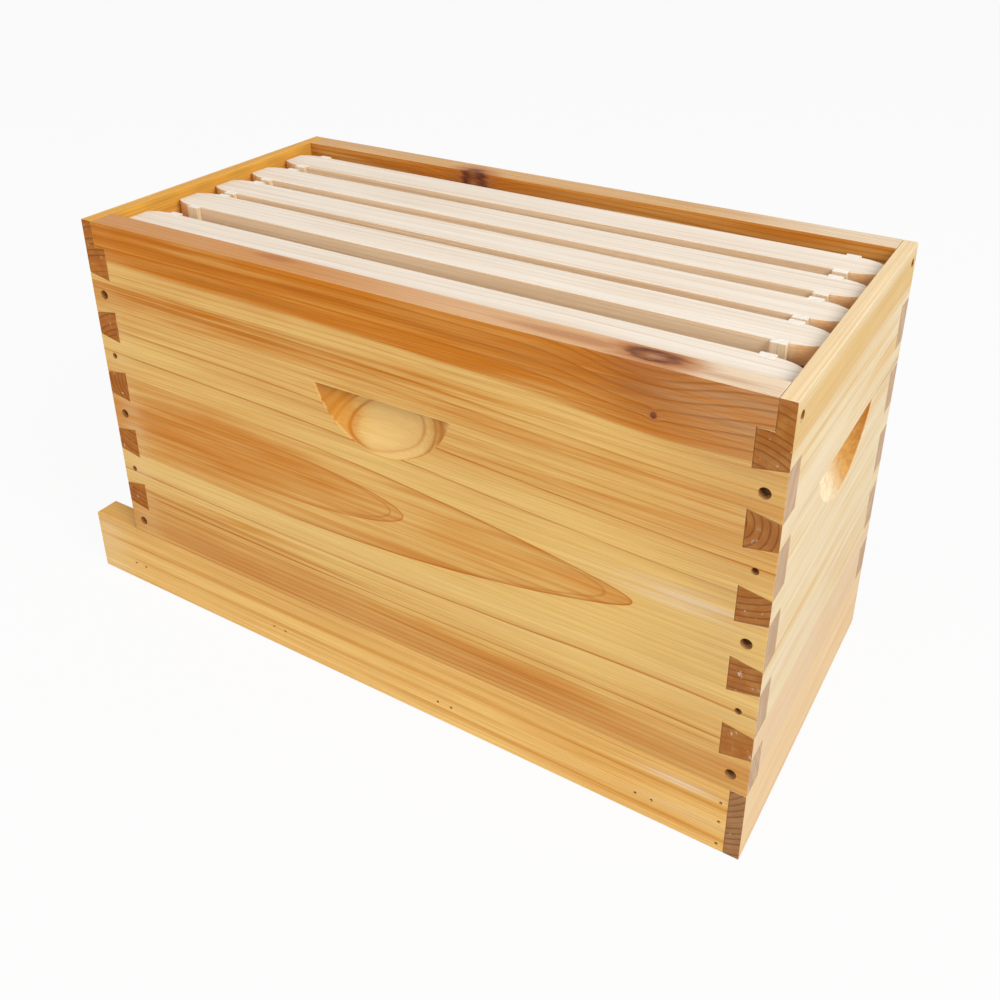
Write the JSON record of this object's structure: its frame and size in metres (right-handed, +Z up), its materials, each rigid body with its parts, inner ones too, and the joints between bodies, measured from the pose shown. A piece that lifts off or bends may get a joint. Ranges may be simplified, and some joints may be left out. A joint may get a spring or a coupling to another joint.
{
  "type": "nuc box",
  "caption": "Small dovetailed wooden beehive box on a bottom board with an open entrance, holding a row of lift-out hanging frames with foundation sheets.",
  "frame": {"origin": "middle of the underside of the whole object, on the surface that it stands on", "axes": "+X towards the closed rear end, -X towards the entrance, +Y towards the far long side, +Z up"},
  "size_m": [0.551, 0.25, 0.312],
  "materials": {
    "waxed_board_wood": "honey-coloured softwood dipped in wax, satin, with bold growth rings",
    "waxed_end_wood": "paler honey-coloured softwood dipped in wax, satin",
    "waxed_rail_wood": "honey-coloured softwood dipped in wax, satin, straight grain",
    "bare_frame_wood": "bare pale softwood, planed, matt",
    "foundation": "yellow wax-coated sheet with pressed hexagonal cells",
    "steel": "plain bright steel nails, dulled by wax"
  },
  "bodies": {
    "bottom_board": {"side_rail_near": "waxed_rail_wood", "side_rail_far": "waxed_rail_wood", "rear_rail": "waxed_rail_wood", "floor_panel": "waxed_rail_wood", "floor_brads": "steel", "rail_brads": "steel"},
    "hive_body": {"side_board_near": "waxed_board_wood", "side_board_far": "waxed_board_wood", "end_board_front": "waxed_end_wood", "end_board_rear": "waxed_end_wood", "corner_nails": "steel", "lip_nails": "steel"},
    "frame_1": {"frame_1_top_bar": "bare_frame_wood", "frame_1_end_bar_front": "bare_frame_wood", "frame_1_end_bar_rear": "bare_frame_wood", "frame_1_bottom_bar": "bare_frame_wood", "frame_1_foundation": "foundation", "frame_1_nails": "steel"},
    "frame_2": {"frame_2_top_bar": "bare_frame_wood", "frame_2_end_bar_front": "bare_frame_wood", "frame_2_end_bar_rear": "bare_frame_wood", "frame_2_bottom_bar": "bare_frame_wood", "frame_2_foundation": "foundation", "frame_2_nails": "steel"},
    "frame_3": {"frame_3_top_bar": "bare_frame_wood", "frame_3_end_bar_front": "bare_frame_wood", "frame_3_end_bar_rear": "bare_frame_wood", "frame_3_bottom_bar": "bare_frame_wood", "frame_3_foundation": "foundation", "frame_3_nails": "steel"},
    "frame_4": {"frame_4_top_bar": "bare_frame_wood", "frame_4_end_bar_front": "bare_frame_wood", "frame_4_end_bar_rear": "bare_frame_wood", "frame_4_bottom_bar": "bare_frame_wood", "frame_4_foundation": "foundation", "frame_4_nails": "steel"},
    "frame_5": {"frame_5_top_bar": "bare_frame_wood", "frame_5_end_bar_front": "bare_frame_wood", "frame_5_end_bar_rear": "bare_frame_wood", "frame_5_bottom_bar": "bare_frame_wood", "frame_5_foundation": "foundation", "frame_5_nails": "steel"}
  },
  "joints": [
    {"name": "hive_body_lift", "type": "slide", "parent": "bottom_board", "child": "hive_body", "axis": [0, 0, 1], "range_m": [0, 0.08]},
    {"name": "frame_1_lift", "type": "slide", "parent": "hive_body", "child": "frame_1", "axis": [0, 0, 1], "range_m": [0, 0.25]},
    {"name": "frame_2_lift", "type": "slide", "parent": "hive_body", "child": "frame_2", "axis": [0, 0, 1], "range_m": [0, 0.25]},
    {"name": "frame_3_lift", "type": "slide", "parent": "hive_body", "child": "frame_3", "axis": [0, 0, 1], "range_m": [0, 0.25]},
    {"name": "frame_4_lift", "type": "slide", "parent": "hive_body", "child": "frame_4", "axis": [0, 0, 1], "range_m": [0, 0.25]},
    {"name": "frame_5_lift", "type": "slide", "parent": "hive_body", "child": "frame_5", "axis": [0, 0, 1], "range_m": [0, 0.25]}
  ]
}
